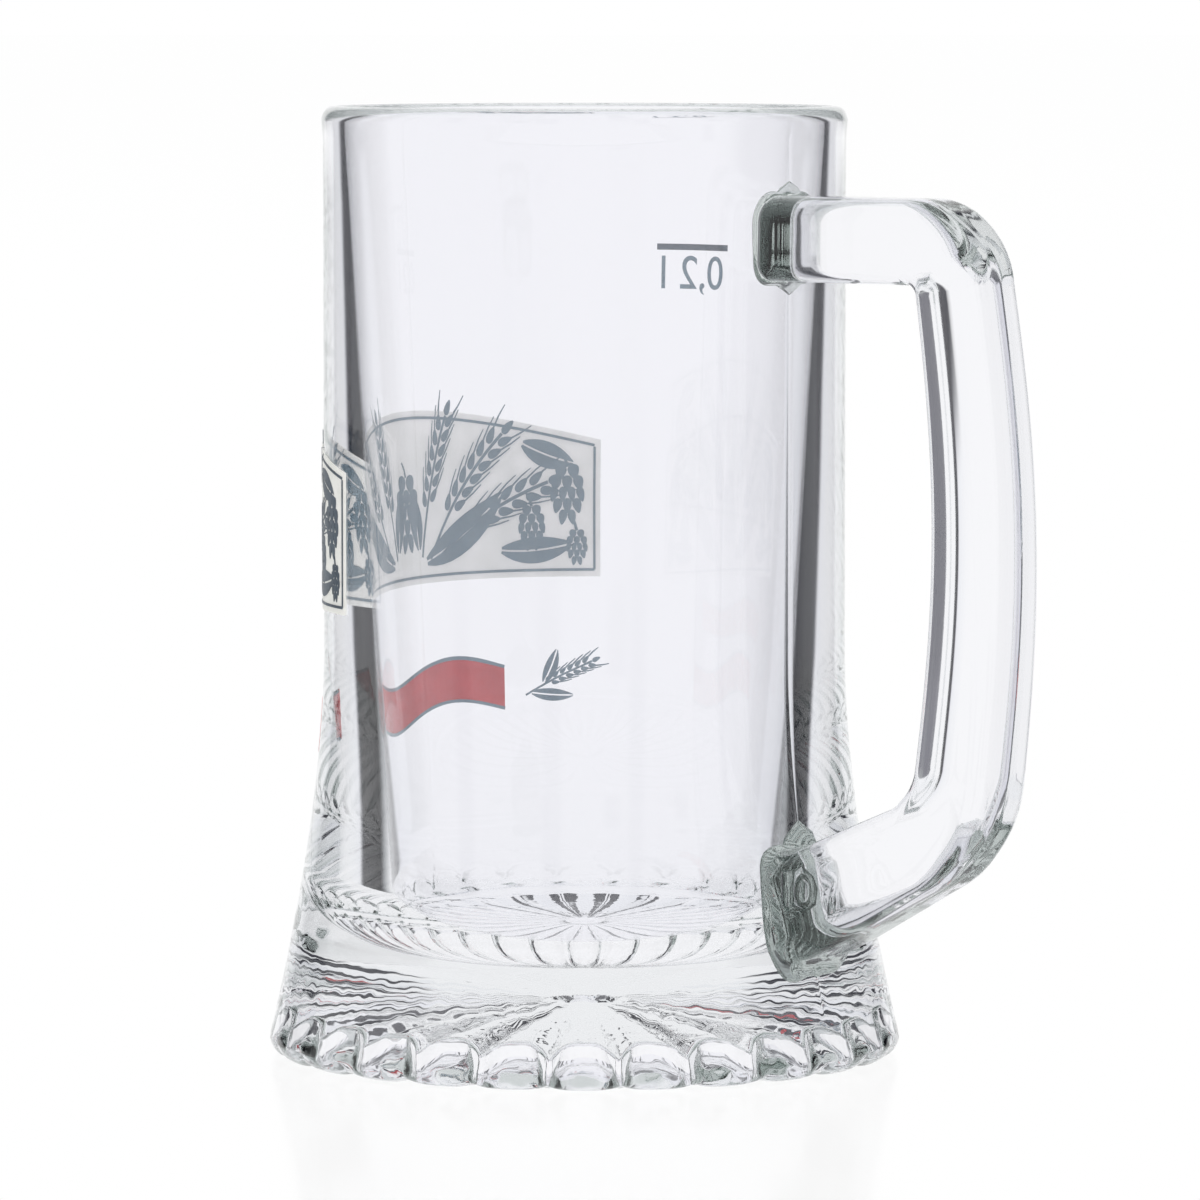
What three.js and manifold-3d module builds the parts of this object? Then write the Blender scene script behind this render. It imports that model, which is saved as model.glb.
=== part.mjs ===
// Pressed glass beer mug with an applied handle and a fired enamel print. Millimetres, +Z up.
// The vessel's axis is upright, the handle points to -X and the print faces +X.
// The origin is the middle of the footprint, on the table.
import * as THREE from 'three';
import { mergeVertices } from 'three/addons/utils/BufferGeometryUtils.js';
import Module from 'manifold-3d';

const wasm = await Module();
wasm.setup();

// Vessel
const vesselHeight = 120;
const wallRadius = 33;
const mouthRadius = 30.4;
const rimBead = 0.2;
const rimDrop = 1.9;
const floorHeight = 11.2;
const floorRadius = 25.2;
const floorCorner = 10;
const floorDish = 0.6;
const flareTop = 52;
const flareBend = 32;

// Foot: a ring of beads round a raised star of flutes
const footRadius = 40;
const footRound = 2.2;
const contactWidth = 1.1;
const beadCount = 26;
const beadLength = 5.2;
const beadTurn = 130;
const starHeight = 4.8;
const starRise = 0.6;
const starDisc = 2.7;
const discStep = 0.4;
const fluteDepth = 1.8;
const beadArch = 3;
const grooveDepth = 0.75;
const grooveShare = 0.32;
const grooveRise = 4.2;

// Handle, measured in its own upright plane: reach from the axis, and height
const upperArmHeight = 103.9;
const upperReach = 59.7;
const lowerReach = 60.7;
const lowerBendHeight = 32.3;
const lowerRootHeight = 20.6;
const gripBow = 3.4;
const upperBend = 5.5;
const lowerBend = 10;
const handleRound = 2.5;
const upperArm = { thickness: 10.5, width: 11.8 };
const gripTop = { thickness: 8.4, width: 11.6 };
const gripLow = { thickness: 10.2, width: 12.4 };
const lowerArm = { thickness: 11.2, width: 12.6 };
const lowerRoot = { thickness: 13.4, width: 12.8 };
const upperPad = { thickness: 0.5, width: 0.7, length: 5 };
const lowerPad = { thickness: 2.6, width: 2.1, length: 8 };

// Print, in degrees round the axis from +X, seen from outside as rising to the right
const panelFrom = -54;
const panelTo = 66;
const panelLow = 56.6;
const panelHigh = 74.4;
const panelArch = 4.6;
const ribbonFrom = -28;
const ribbonTo = 36;
const ribbonLow = 38;
const ribbonHigh = 45;
const ribbonSag = 1.6;
const markFrom = -88;
const markTo = -68;
const markHeight = 99.6;
const markWidth = 0.8;

// Fits
const fuseGap = 0.3;
const enamelGap = 0.06;
const enamelThickness = 0.14;

const floorEdgeHeight = floorHeight + floorDish;
const contactOuter = footRadius - footRound;
const contactInner = contactOuter - contactWidth;
const beadInner = contactInner - beadLength;
const wallStart = vesselHeight - rimDrop - 2;

const finishes = {
  body: { color: 0xdde6e4, roughness: 0.04, metalness: 0 },
  handle: { color: 0xd6e0de, roughness: 0.04, metalness: 0 },
  panel: { color: 0xd3d2cd, roughness: 0.45, metalness: 0 },
  ribbon: { color: 0xb8242c, roughness: 0.4, metalness: 0 },
  mark: { color: 0x6d7b86, roughness: 0.45, metalness: 0 },
};

function solid(geometry) {
  const bare = geometry.clone();
  bare.deleteAttribute('normal');
  bare.deleteAttribute('uv');
  const welded = mergeVertices(bare, 1e-5);
  const vertProperties = new Float32Array(welded.attributes.position.array);
  const triVerts = new Uint32Array(welded.index.array);
  return new wasm.Manifold(new wasm.Mesh({ numProp: 3, vertProperties, triVerts }));
}

function geometryOf(manifold) {
  const mesh = manifold.getMesh();
  const geometry = new THREE.BufferGeometry();
  geometry.setAttribute('position', new THREE.BufferAttribute(mesh.vertProperties, 3));
  geometry.setIndex(new THREE.BufferAttribute(mesh.triVerts, 1));
  return geometry;
}

function named(name, geometry, finish) {
  const shape = geometry.index ? geometry.toNonIndexed() : geometry;
  shape.computeVertexNormals();
  const mesh = new THREE.Mesh(shape, new THREE.MeshStandardMaterial(finish));
  mesh.name = name;
  return mesh;
}

function arc(x, z, rx, rz, from, to, steps) {
  const clockwise = to < from;
  const curve = new THREE.EllipseCurve(x, z, rx, rz, from, to, clockwise);
  return curve.getPoints(steps);
}

// The flare runs from the straight wall down to the foot's widest ring.
const flare = new THREE.QuadraticBezierCurve(
  new THREE.Vector2(footRadius, footRound),
  new THREE.Vector2(wallRadius, flareBend),
  new THREE.Vector2(wallRadius, flareTop)
);

// Outer radius of the vessel at a height above the foot's widest ring
function outerRadius(z) {
  if (z >= flareTop) return wallRadius;
  let low = 0;
  let high = 1;
  for (let step = 0; step < 40; step += 1) {
    const middle = (low + high) / 2;
    if (flare.getPoint(middle).y < z) low = middle;
    else high = middle;
  }
  return flare.getPoint(low).x;
}

// From the star's centre, over the beads, to the foot's widest ring
function undersideProfile() {
  const crown = starHeight + starRise;
  const centre = new THREE.Vector2(0, crown - discStep);
  const disc = new THREE.Vector2(starDisc, crown - discStep);
  const starEdge = new THREE.Vector2(starDisc + discStep, crown);
  const slope = arc(contactInner, starHeight, beadLength, starHeight, Math.PI, Math.PI * 1.5, 4);
  const round = arc(contactOuter, footRound, footRound, footRound, -Math.PI / 2, 0, 3);
  return [centre, disc, starEdge, ...slope, ...round];
}

function wallProfile() {
  const rimMiddle = (wallRadius + mouthRadius) / 2;
  const half = (wallRadius - mouthRadius) / 2;
  const rimHeight = vesselHeight - rimDrop;
  const outerRim = arc(rimMiddle, rimHeight, half + rimBead, rimDrop, 0, Math.PI / 2, 4);
  const innerRim = arc(rimMiddle, rimHeight, half, rimDrop, Math.PI / 2, Math.PI, 4);
  const lower = flare.getPoints(9);
  return [...lower.slice(1), new THREE.Vector2(wallRadius, wallStart), ...outerRim, ...innerRim.slice(1)];
}

function boreProfile() {
  const middle = floorRadius - floorCorner;
  const corner = arc(middle, floorEdgeHeight + floorCorner, floorCorner, floorCorner, 0, -Math.PI / 2, 5);
  return [...corner, new THREE.Vector2(0, floorHeight)];
}

// Into the glass, square to the profile at one of its points
function inwardNormal(profile, row) {
  const before = profile[Math.max(0, row - 1)];
  const after = profile[Math.min(profile.length - 1, row + 1)];
  const along = after.clone().sub(before).normalize();
  return new THREE.Vector2(-along.y, along.x);
}

// From a bead's crown to the groove beside it, at the same row of the underside's profile: the ridges between
// the star's flutes come down to the grooves, so each bead ends in an arch
function grooveMove(profile, row) {
  const point = profile[row];
  if (point.x >= contactInner) {
    const fade = Math.max(0, 1 - point.y / grooveRise) ** 1.5;
    return inwardNormal(profile, row).multiplyScalar(grooveDepth * fade);
  }
  const share = THREE.MathUtils.clamp((point.x - starDisc) / (beadInner - starDisc), 0, 1);
  const slope = Math.max(0, (point.x - beadInner) / beadLength);
  const rise = grooveDepth * slope - fluteDepth * share * (1 - slope);
  return new THREE.Vector2(beadArch * share ** 3 * (1 - slope), rise);
}

// Columns of the lathe: a groove, its two shoulders and the crown of each bead
const columnsPerBead = 4;
const columnShares = [0, grooveShare / 2, 0.5, 1 - grooveShare / 2];

function glassBody() {
  const underside = undersideProfile();
  const profile = [...underside, ...wallProfile(), ...boreProfile()];
  const columns = beadCount * columnsPerBead;
  const lathe = new THREE.LatheGeometry(profile, columns);
  const position = lathe.attributes.position;
  const pitch = (2 * Math.PI) / beadCount;
  const turn = THREE.MathUtils.degToRad(beadTurn) - pitch / 2;
  for (let column = 0; column <= columns; column += 1) {
    const kind = column % columnsPerBead;
    const bead = Math.floor((column % columns) / columnsPerBead);
    const angle = turn + pitch * (bead + columnShares[kind]);
    for (let row = 0; row < profile.length; row += 1) {
      const point = profile[row].clone();
      if (kind === 0 && row < underside.length) point.add(grooveMove(profile, row));
      const index = column * profile.length + row;
      position.setXYZ(index, point.x * Math.cos(angle), point.x * Math.sin(angle), point.y);
    }
  }
  return geometryOf(solid(lathe));
}

// The vessel's outside grown by the fuse gap, which the handle's ends are cut to
function bodyEnvelope() {
  const heights = flare.getPoints(16).map((point) => point.y);
  const side = heights.map((z) => new THREE.Vector2(outerRadius(z) + fuseGap, z));
  const top = vesselHeight + fuseGap;
  const profile = [
    new THREE.Vector2(0, 0),
    new THREE.Vector2(side[0].x, 0),
    ...side,
    new THREE.Vector2(wallRadius + fuseGap, top),
    new THREE.Vector2(0, top),
  ];
  return solid(new THREE.LatheGeometry(profile, 120).rotateX(Math.PI / 2));
}

// The arc that rounds the corner between two straight runs
function bend(from, corner, to, radius) {
  const back = from.clone().sub(corner).normalize();
  const on = to.clone().sub(corner).normalize();
  const half = Math.acos(THREE.MathUtils.clamp(back.dot(on), -1, 1)) / 2;
  const centre = corner.clone().addScaledVector(back.clone().add(on).normalize(), radius / Math.sin(half));
  const start = corner.clone().addScaledVector(back, radius / Math.tan(half)).sub(centre);
  const end = corner.clone().addScaledVector(on, radius / Math.tan(half)).sub(centre);
  return new THREE.EllipseCurve(centre.x, centre.y, radius, radius, start.angle(), end.angle(), true);
}

// The middle of the handle in five runs, from inside the upper wall to inside the lower wall
function handleRuns() {
  const start = new THREE.Vector2(wallRadius - upperPad.length, upperArmHeight);
  const upper = new THREE.Vector2(upperReach, upperArmHeight);
  const lower = new THREE.Vector2(lowerReach, lowerBendHeight);
  const root = new THREE.Vector2(outerRadius(lowerRootHeight), lowerRootHeight);
  const inside = root.clone().sub(lower).normalize();
  const end = root.clone().addScaledVector(inside, lowerPad.length * 0.6);
  const top = bend(start, upper, lower, upperBend);
  const bottom = bend(upper, lower, end, lowerBend);
  const arm = new THREE.LineCurve(start, top.getPoint(0));
  const grip = new THREE.LineCurve(top.getPoint(1), bottom.getPoint(0));
  const leg = new THREE.LineCurve(bottom.getPoint(1), end);
  return [arm, top, grip, bottom, leg];
}

// The grip bows outward between its two bends.
function bowed(point) {
  const share = (point.y - lowerBendHeight) / (upperArmHeight - lowerBendHeight);
  const swell = Math.sin(Math.PI * THREE.MathUtils.clamp(share, 0, 1));
  return new THREE.Vector2(point.x + gripBow * swell, point.y);
}

// The handle's stations: the middle of the section there, and the section's two sizes
function handleStations() {
  const sizes = [upperArm, upperArm, gripTop, gripLow, lowerArm, lowerRoot];
  const steps = [9, 7, 12, 8, 10];
  return handleRuns().flatMap((curve, run) => {
    const skipped = run === 0 ? 0 : 1;
    const points = curve.getPoints(steps[run]).slice(skipped);
    return points.map((point, index) => {
      const share = (index + skipped) / steps[run];
      const middle = bowed(point);
      const pad = run < 2 ? upperPad : lowerPad;
      const flareOut = flareShare((middle.x - outerRadius(middle.y)) / pad.length);
      const thickness = THREE.MathUtils.lerp(sizes[run].thickness, sizes[run + 1].thickness, share);
      const width = THREE.MathUtils.lerp(sizes[run].width, sizes[run + 1].width, share);
      return {
        middle,
        thickness: thickness + 2 * pad.thickness * flareOut,
        width: width + 2 * pad.width * flareOut,
      };
    });
  });
}

// A rounded rectangle across the handle, as points about its middle
function handleSection(thickness, width) {
  const x = thickness / 2 - handleRound;
  const y = width / 2 - handleRound;
  const turns = [
    [x, y, 0],
    [-x, y, Math.PI / 2],
    [-x, -y, Math.PI],
    [x, -y, Math.PI * 1.5],
  ];
  return turns.flatMap(([cx, cy, from]) => arc(cx, cy, handleRound, handleRound, from, from + Math.PI / 2, 3));
}

// How far the handle has flared out into its pad, for a distance from the wall in pad lengths
function flareShare(distance) {
  const share = THREE.MathUtils.clamp(1 - distance, 0, 1);
  return share * share;
}

function glassHandle() {
  const stations = handleStations();
  const rings = stations.map(({ middle, thickness, width }, index) => {
    const before = stations[Math.max(0, index - 1)].middle;
    const after = stations[Math.min(stations.length - 1, index + 1)].middle;
    const along = after.clone().sub(before).normalize();
    return handleSection(thickness, width).map(
      (corner) =>
        new THREE.Vector3(-(middle.x - along.y * corner.x), corner.y, middle.y + along.x * corner.x)
    );
  });
  return geometryOf(solid(loft(rings)).subtract(bodyEnvelope()));
}

// A closed skin over a row of rings with the same number of points, capped at both ends
function loft(rings) {
  const around = rings[0].length;
  const vertices = rings.flat();
  const faces = [];
  for (let ring = 0; ring + 1 < rings.length; ring += 1) {
    for (let side = 0; side < around; side += 1) {
      const next = (side + 1) % around;
      const a = ring * around + side;
      const b = ring * around + next;
      faces.push(a, b, b + around, a, b + around, a + around);
    }
  }
  const last = (rings.length - 1) * around;
  for (let side = 1; side + 1 < around; side += 1) {
    faces.push(0, side + 1, side);
    faces.push(last, last + side, last + side + 1);
  }
  const geometry = new THREE.BufferGeometry().setFromPoints(vertices);
  geometry.setIndex(faces);
  return geometry;
}

// A film of enamel on the wall between two edges, each a height for a share of the way along
function enamelFilm(from, to, lowEdge, highEdge) {
  const columns = Math.max(4, Math.ceil((to - from) / 2.5));
  const rows = 3;
  const rings = [];
  for (let column = 0; column <= columns; column += 1) {
    const share = column / columns;
    const angle = THREE.MathUtils.degToRad(THREE.MathUtils.lerp(from, to, share));
    const inner = [];
    const outer = [];
    for (let row = 0; row <= rows; row += 1) {
      const z = THREE.MathUtils.lerp(lowEdge(share), highEdge(share), row / rows);
      const radius = outerRadius(z) + enamelGap;
      const far = radius + enamelThickness;
      inner.push(new THREE.Vector3(radius * Math.cos(angle), radius * Math.sin(angle), z));
      outer.push(new THREE.Vector3(far * Math.cos(angle), far * Math.sin(angle), z));
    }
    rings.push([...inner, ...outer.reverse()]);
  }
  return geometryOf(solid(loft(rings)));
}

function picturePanel() {
  const arch = (share) => panelArch * Math.sin(Math.PI * share);
  return enamelFilm(panelFrom, panelTo, () => panelLow, (share) => panelHigh + arch(share));
}

function redRibbon() {
  const sag = (share) => ribbonSag * Math.sin(2 * Math.PI * share);
  return enamelFilm(ribbonFrom, ribbonTo, (share) => ribbonLow + sag(share), (share) => ribbonHigh + sag(share));
}

function fillLine() {
  const half = markWidth / 2;
  return enamelFilm(markFrom, markTo, () => markHeight - half, () => markHeight + half);
}

const mug = new THREE.Group();
mug.name = 'beer_mug';
mug.add(named('glass_body', glassBody(), finishes.body));
mug.add(named('glass_handle', glassHandle(), finishes.handle));
mug.add(named('picture_panel', picturePanel(), finishes.panel));
mug.add(named('red_ribbon', redRibbon(), finishes.ribbon));
mug.add(named('fill_line', fillLine(), finishes.mark));

// The footprint's middle comes to the origin.
const footprint = new THREE.Box3().setFromObject(mug);
const toMiddle = -(footprint.min.x + footprint.max.x) / 2;
mug.children.forEach((piece) => piece.geometry.translate(toMiddle, 0, 0));

export default mug;
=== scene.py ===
import math
import bmesh
import bpy
from mathutils import Matrix, Vector


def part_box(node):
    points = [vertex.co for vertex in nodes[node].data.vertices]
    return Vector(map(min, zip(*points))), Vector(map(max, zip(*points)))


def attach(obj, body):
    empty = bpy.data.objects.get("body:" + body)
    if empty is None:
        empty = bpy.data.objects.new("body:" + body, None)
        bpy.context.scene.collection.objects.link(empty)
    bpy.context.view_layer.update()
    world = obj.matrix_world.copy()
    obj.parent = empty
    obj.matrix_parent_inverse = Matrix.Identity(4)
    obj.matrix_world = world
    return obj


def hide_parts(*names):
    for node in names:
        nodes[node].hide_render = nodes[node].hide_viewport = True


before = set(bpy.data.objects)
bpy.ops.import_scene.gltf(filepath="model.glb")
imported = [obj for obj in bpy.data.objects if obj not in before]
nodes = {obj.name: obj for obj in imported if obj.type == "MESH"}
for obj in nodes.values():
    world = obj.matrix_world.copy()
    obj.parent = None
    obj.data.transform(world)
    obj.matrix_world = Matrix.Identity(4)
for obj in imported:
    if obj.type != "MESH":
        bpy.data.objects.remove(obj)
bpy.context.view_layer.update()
mm = 0.001
weld = 1e-4  # millimetres between points that are merged
bodyLow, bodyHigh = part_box("glass_body")
axisX = (bodyLow.x + bodyHigh.x) / 2  # the vessel's upright axis, in metres


def linear(hexColour):
    parts = [int(hexColour[i:i + 2], 16) / 255 for i in (0, 2, 4)]
    return [p / 12.92 if p <= 0.04045 else ((p + 0.055) / 1.055) ** 2.4 for p in parts] + [1]


def addNode(tree, kind, settings=None, inputs=None, **links):
    # a link is named for the socket it goes to, or for its number, as in _0
    node = tree.nodes.new(kind)
    for name, value in (settings or {}).items():
        setattr(node, name, value)
    for name, value in (inputs or {}).items():
        node.inputs[name].default_value = value
    for name, source in links.items():
        key = int(name[1:]) if name[1:].isdigit() else name.replace("_", " ")
        tree.links.new(source, node.inputs[key])
    return node


def newMaterial(name):
    material = bpy.data.materials.new(name)
    material.use_nodes = True
    material.node_tree.nodes.clear()
    return material, material.node_tree


def addPiece(bm, name, finishes, stands=()):
    # modelled in millimetres about the vessel's axis, kept in metres in the frame
    bmesh.ops.scale(bm, vec=(mm, mm, mm), verts=bm.verts)
    bmesh.ops.translate(bm, vec=(axisX, 0, 0), verts=bm.verts)
    mesh = bpy.data.meshes.new(name)
    bm.to_mesh(mesh)
    bm.free()
    for finish in finishes:
        mesh.materials.append(finish)
    piece = bpy.data.objects.new(name, mesh)
    bpy.context.scene.collection.objects.link(piece)
    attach(piece, "root")
    if stands:
        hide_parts(*stands)


# camera: the photograph's place, a long lens a metre away
shot = {
    "azimuth": 220, "pitch": 4.268,  # degrees
    "distance": 1.0, "height": 0.1321, "aside": 0.00196, "near": 0.05, "far": 60,  # metres
    "lens": 237.4, "sensor": 36,  # millimetres
}

turn = math.radians(shot["azimuth"])
camera = bpy.data.cameras.new("photo_camera")
camera.lens = shot["lens"]
camera.sensor_width = shot["sensor"]
camera.clip_start = shot["near"]
camera.clip_end = shot["far"]
eye = bpy.data.objects.new("photo_camera", camera)
eye.location = (
    axisX + math.sin(turn) * shot["distance"] + math.cos(turn) * shot["aside"],
    -math.cos(turn) * shot["distance"] + math.sin(turn) * shot["aside"],
    shot["height"],
)
eye.rotation_euler = (math.pi / 2 - math.radians(shot["pitch"]), 0, turn)
bpy.context.scene.collection.objects.link(eye)
bpy.context.scene.camera = eye
print("camera placed")


# studio: white behind the mug, with dark flags and a dim room beside it, which draw the edges of clear glass
studio = {
    "behind": 40,  # azimuth, as the camera's, of the wall behind the mug in the photograph
    # tones by degrees round from there, to the left of the picture if positive, for three heights of the room
    "low": [
        (-158, "ffffff"), (-155, "a4a4ac"), (-150, "a4a4ac"), (-147, "ffffff"),  # a narrow flag
        (-112, "ffffff"), (-106, "a4a4a8"), (-98, "84848a"), (-76, "7c7c84"), (-66, "a9acac"),  # the dim side
        (-57, "9fa2a4"), (-54, "121218"), (-38, "121218"), (-36, "3c3c44"),  # the right flag
        (-33, "f1f2f5"), (-25, "f9fafb"), (-15, "ffffff"), (15, "ffffff"), (25, "f9fafb"), (33, "f1f2f5"),
        (36, "3c3c44"), (38, "121218"), (54, "121218"), (57, "9fa2a4"), (62, "f2f3f3"),  # the left flag
        (109, "ffffff"), (112, "a4a4ac"), (118, "a4a4ac"), (121, "ffffff"),
        (156, "ffffff"), (159, "a4a4ac"), (166, "a4a4ac"), (169, "ffffff"),
    ],
    "level": [
        (-118, "ffffff"), (-110, "e4e6e6"), (-104, "7a7a80"), (-76, "6e6e76"), (-66, "a9acac"),
        (-57, "9fa2a4"), (-54, "22222a"), (-38, "22222a"), (-36, "484850"),
        (-33, "f1f2f5"), (-25, "f9fafb"), (-15, "ffffff"), (15, "ffffff"), (25, "f9fafb"), (33, "f1f2f5"),
        (36, "484850"), (38, "22222a"), (54, "22222a"), (57, "9fa2a4"), (66, "e8e9e9"), (75, "ffffff"),
    ],
    "high": [
        (-115, "ffffff"), (-108, "e4e6e6"), (-102, "7a7a80"), (-76, "6e6e76"), (-62, "b0b3b3"),
        (-57, "34343c"), (-24, "383840"), (-20, "ffffff"), (20, "ffffff"), (24, "383840"), (57, "34343c"),
        (62, "d0d2d2"), (72, "ffffff"),
    ],
    "table": "fafbfc", "overhead": "f8f9fa",
    "levels": (-33, -13, -1, 42), "soft": 0.03,  # degrees up at which the bands meet, and how softly
    # the dim side is lifted for rays of more than a few bounces
    "open": [(-158, "000000"), (-150, "ffffff"), (-64, "ffffff"), (-60, "000000")],
    "lift": "f2f3f4", "liftFrom": 4, "liftTo": 5,
    "deep": "e6e9e8", "deepFrom": 9, "deepTo": 13,  # what rays long caught in the glass come to
    "room": (1.12, 1.1, 1.06, 1),  # the even white room that lights the enamel
    "bounces": 40,  # light goes on a long way inside thick glass
}

world = bpy.data.worlds.new("studio")
bpy.context.scene.world = world
world.use_nodes = True
tree = world.node_tree
tree.nodes.clear()
place = addNode(tree, "ShaderNodeTexCoord")
parts = addNode(tree, "ShaderNodeSeparateXYZ", _0=place.outputs["Generated"])
backY = addNode(tree, "ShaderNodeMath", {"operation": "MULTIPLY"}, {1: -1}, _0=parts.outputs["Y"])
bearing = addNode(tree, "ShaderNodeMath", {"operation": "ARCTAN2"},
                  _0=parts.outputs["X"], _1=backY.outputs[0])
degrees = addNode(tree, "ShaderNodeMath", {"operation": "DEGREES"}, _0=bearing.outputs[0])
away = addNode(tree, "ShaderNodeMath", {"operation": "SUBTRACT"}, {1: studio["behind"]},
               _0=degrees.outputs[0])
near = addNode(tree, "ShaderNodeMath", {"operation": "WRAP"}, {1: 180, 2: -180}, _0=away.outputs[0])
share = addNode(tree, "ShaderNodeMapRange", None, {1: -180, 2: 180}, _0=near.outputs[0])
tones = {}
for key in ("open", "low", "level", "high"):
    ramp = addNode(tree, "ShaderNodeValToRGB", _0=share.outputs[0])
    stops = ramp.color_ramp.elements
    for i, (angle, colour) in enumerate(studio[key]):
        stop = stops[i] if i < 2 else stops.new(angle / 360 + 0.5)  # a ramp starts with two stops
        stop.position = angle / 360 + 0.5
        stop.color = linear(colour)
    tones[key] = ramp.outputs[0]
path = addNode(tree, "ShaderNodeLightPath")
turned = addNode(tree, "ShaderNodeMapRange", None, {1: studio["liftFrom"], 2: studio["liftTo"]},
                 _0=path.outputs["Ray Depth"])
caught = addNode(tree, "ShaderNodeMapRange", None, {1: studio["deepFrom"], 2: studio["deepTo"]},
                 _0=path.outputs["Ray Depth"])
lifted = addNode(tree, "ShaderNodeMath", {"operation": "MULTIPLY"}, _0=turned.outputs[0], _1=tones["open"])
steps = []
for limit in studio["levels"]:
    height = math.sin(math.radians(limit))
    rise = addNode(tree, "ShaderNodeMapRange", {"interpolation_type": "SMOOTHSTEP"},
                   {1: height - studio["soft"], 2: height + studio["soft"]}, _0=parts.outputs["Z"])
    steps.append(rise.outputs[0])
level = addNode(tree, "ShaderNodeMix", {"data_type": "RGBA"}, {6: linear(studio["table"])},
                _0=steps[0], _7=tones["low"]).outputs[2]
for step, key in zip(steps[1:], ("level", "high")):
    level = addNode(tree, "ShaderNodeMix", {"data_type": "RGBA"},
                    _0=step, _6=level, _7=tones[key]).outputs[2]
for factor, colour in (
    (steps[3], linear(studio["overhead"])),
    (lifted.outputs[0], linear(studio["lift"])),
    (caught.outputs[0], linear(studio["deep"])),
    (path.outputs["Diffuse Depth"], studio["room"]),
):
    level = addNode(tree, "ShaderNodeMix", {"data_type": "RGBA"}, {7: colour},
                    _0=factor, _6=level).outputs[2]
light = addNode(tree, "ShaderNodeBackground", None, {"Strength": 1.0}, Color=level)
addNode(tree, "ShaderNodeOutputWorld", Surface=light.outputs[0])

# floor: a glossy white table that blends into the room
tableDiscs = {  # metres
    "table": {"radius": 40, "height": -0.00006, "inGlass": False},
    "table_near": {"radius": 0.06, "height": -0.00003, "inGlass": True},
}

# white acrylic, polished: even and bright, with a faint soft reflection
tableFinish, tree = newMaterial("white acrylic table")
glow = addNode(tree, "ShaderNodeEmission", None, {"Color": linear("ffffff"), "Strength": 1.0})
gloss = addNode(tree, "ShaderNodeBsdfGlossy", None, {"Color": linear("ffffff"), "Roughness": 0.1})
both = addNode(tree, "ShaderNodeMixShader", None, {0: 0.08}, _1=glow.outputs[0], _2=gloss.outputs[0])
addNode(tree, "ShaderNodeOutputMaterial", Surface=both.outputs[0])
for name, disc in tableDiscs.items():
    bm = bmesh.new()
    bmesh.ops.create_circle(bm, cap_ends=True, segments=96, radius=disc["radius"])
    mesh = bpy.data.meshes.new(name)
    bm.to_mesh(mesh)
    bm.free()
    mesh.materials.append(tableFinish)
    table = bpy.data.objects.new(name, mesh)
    table.location = (axisX, 0, disc["height"])
    table.visible_transmission = disc["inGlass"]  # past the near disc the glass shows the room's own tones
    table.visible_glossy = disc["inGlass"]
    bpy.context.scene.collection.objects.link(table)
bpy.context.scene.view_settings.view_transform = "Standard"
cycles = bpy.context.scene.cycles
cycles.max_bounces = studio["bounces"]
cycles.transmission_bounces = studio["bounces"]
cycles.glossy_bounces = studio["bounces"]
cycles.transparent_max_bounces = studio["bounces"]
cycles.blur_glossy = 0.0  # the enamel is lit through clear glass

# lamp: a softbox beyond the print, which lights the enamel and hides from the glass
softbox = {
    "bearing": 90,  # degrees
    "distance": 1.2, "height": 0.45, "aim": 0.06, "size": 0.8,  # metres
    "power": 0.5,  # watts
}

lamp = bpy.data.lights.new("softbox", "AREA")
lamp.shape = "DISK"
lamp.size = softbox["size"]
lamp.energy = softbox["power"]
lampPlace = bpy.data.objects.new("softbox", lamp)
turn = math.radians(softbox["bearing"])
lampPlace.location = (
    axisX + math.sin(turn) * softbox["distance"],
    -math.cos(turn) * softbox["distance"],
    softbox["height"],
)
sight = Vector((axisX, 0, softbox["aim"])) - lampPlace.location
lampPlace.rotation_euler = sight.to_track_quat("-Z", "Y").to_euler()
lampPlace.visible_camera = False
lampPlace.visible_glossy = False
lampPlace.visible_transmission = False
bpy.context.scene.collection.objects.link(lampPlace)
print("studio set")


glassDepth = {"colour": "b2bdba", "density": 3.0}  # what a long way through the glass takes from the light


# soda-lime glass, pressed and fire-polished: clear and sharp, with the slow waves that a mould leaves
def pressedGlass(name, rippled):
    material, tree = newMaterial(name)
    place = addNode(tree, "ShaderNodeTexCoord")
    slow = addNode(tree, "ShaderNodeTexNoise", None, {"Scale": 70, "Detail": 1.5, "Roughness": 0.4},
                   Vector=place.outputs["Object"])  # waves about 14 mm long
    wave = addNode(tree, "ShaderNodeBump", None, {"Strength": 0.05, "Distance": 0.0003},
                   Height=slow.outputs[0])
    if rippled:
        # the foot touched the mould longest, and its skin is rippled, about 1.9 mm from wave to wave
        ripple = addNode(tree, "ShaderNodeTexNoise", None, {"Scale": 520, "Detail": 0.0},
                         Vector=place.outputs["Object"])
        parts = addNode(tree, "ShaderNodeSeparateXYZ", _0=place.outputs["Object"])
        foot = addNode(tree, "ShaderNodeMapRange", {"interpolation_type": "SMOOTHSTEP"},
                       {1: 0.016, 2: 0.006}, _0=parts.outputs["Z"])
        chill = addNode(tree, "ShaderNodeMath", {"operation": "MULTIPLY"},
                        _0=ripple.outputs[0], _1=foot.outputs[0])
        wave = addNode(tree, "ShaderNodeBump", None, {"Strength": 1.0, "Distance": 0.0001},
                       Height=chill.outputs[0], Normal=wave.outputs[0])
    glass = addNode(tree, "ShaderNodeBsdfPrincipled", None, {
        "Base Color": linear("f9f9fc"), "Roughness": 0.0, "IOR": 1.52, "Transmission Weight": 1.0,
    }, Normal=wave.outputs[0])
    depth = addNode(tree, "ShaderNodeVolumeAbsorption", None, {
        "Color": linear(glassDepth["colour"]), "Density": glassDepth["density"],
    })
    addNode(tree, "ShaderNodeOutputMaterial", Surface=glass.outputs[0], Volume=depth.outputs[0])
    return material


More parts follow.
